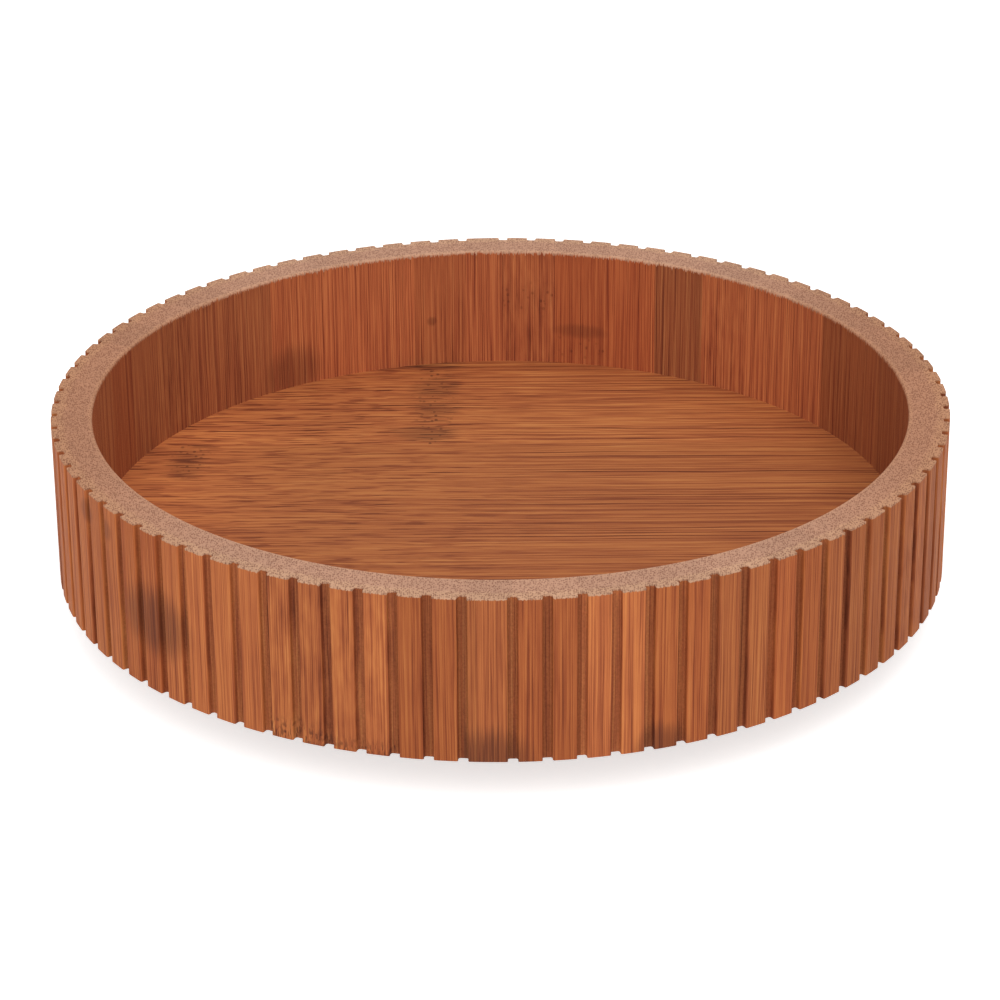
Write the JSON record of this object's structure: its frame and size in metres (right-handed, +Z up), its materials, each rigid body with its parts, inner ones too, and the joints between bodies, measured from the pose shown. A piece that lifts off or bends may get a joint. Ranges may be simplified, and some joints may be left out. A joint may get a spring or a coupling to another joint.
{
  "type": "lazy susan turntable",
  "caption": "Round bamboo turntable tray with a fluted upright wall of edge-glued staves, free-turning on a ball bearing over a smaller disc base with rubber feet.",
  "frame": {"origin": "on the turning axis, on the surface that the feet stand on", "axes": "+Z up along the turning axis, -Y towards the front of the picture, +X to its right"},
  "size_m": [0.25, 0.25, 0.0587],
  "materials": {
    "wall_bamboo": "satin lacquer on caramelised bamboo",
    "floor_bamboo": "satin lacquer on caramelised bamboo",
    "base_bamboo": "satin lacquer on caramelised bamboo",
    "ring_aluminium": "turned, satin",
    "ball_steel": "polished",
    "cage_plastic": "moulded nylon",
    "screw_steel": "zinc plated",
    "foot_rubber": "matte"
  },
  "bodies": {
    "base": {"base_disc": "base_bamboo", "bearing_inner_ring": "ring_aluminium", "base_screws": "screw_steel", "foot_back_left": "foot_rubber", "foot_back_right": "foot_rubber", "foot_front_left": "foot_rubber", "foot_front_right": "foot_rubber"},
    "tray": {"closing_stave_back": "wall_bamboo", "closing_stave_front": "wall_bamboo", "wall_stave_01": "wall_bamboo", "wall_stave_02": "wall_bamboo", "wall_stave_03": "wall_bamboo", "wall_stave_04": "wall_bamboo", "wall_stave_05": "wall_bamboo", "wall_stave_06": "wall_bamboo", "wall_stave_07": "wall_bamboo", "wall_stave_08": "wall_bamboo", "wall_stave_09": "wall_bamboo", "wall_stave_10": "wall_bamboo", "wall_stave_11": "wall_bamboo", "wall_stave_12": "wall_bamboo", "wall_stave_13": "wall_bamboo", "wall_stave_14": "wall_bamboo", "wall_stave_15": "wall_bamboo", "wall_stave_16": "wall_bamboo", "wall_stave_17": "wall_bamboo", "wall_stave_18": "wall_bamboo", "wall_stave_19": "wall_bamboo", "wall_stave_20": "wall_bamboo", "wall_stave_21": "wall_bamboo", "wall_stave_22": "wall_bamboo", "wall_stave_23": "wall_bamboo", "wall_stave_24": "wall_bamboo", "wall_stave_25": "wall_bamboo", "wall_stave_26": "wall_bamboo", "wall_stave_27": "wall_bamboo", "wall_stave_28": "wall_bamboo", "wall_stave_29": "wall_bamboo", "wall_stave_30": "wall_bamboo", "wall_stave_31": "wall_bamboo", "wall_stave_32": "wall_bamboo", "wall_stave_33": "wall_bamboo", "wall_stave_34": "wall_bamboo", "wall_stave_35": "wall_bamboo", "wall_stave_36": "wall_bamboo", "wall_stave_37": "wall_bamboo", "wall_stave_38": "wall_bamboo", "wall_stave_39": "wall_bamboo", "wall_stave_40": "wall_bamboo", "wall_stave_41": "wall_bamboo", "wall_stave_42": "wall_bamboo", "wall_stave_43": "wall_bamboo", "floor_panel": "floor_bamboo", "bearing_outer_ring": "ring_aluminium", "tray_screws": "screw_steel"},
    "ball_set": {"bearing_balls": "ball_steel", "ball_cage": "cage_plastic"}
  },
  "joints": [
    {"name": "tray_spin", "type": "hinge", "parent": "base", "child": "tray", "pos_m": [0, 0, 0.0135], "axis": [0, 0, 1], "continuous": true},
    {"name": "ball_orbit", "type": "hinge", "parent": "base", "child": "ball_set", "pos_m": [0, 0, 0.0135], "axis": [0, 0, 1], "continuous": true}
  ],
  "couplings": [
    {"joint": "ball_orbit", "follows": "tray_spin", "ratio": 0.51}
  ]
}
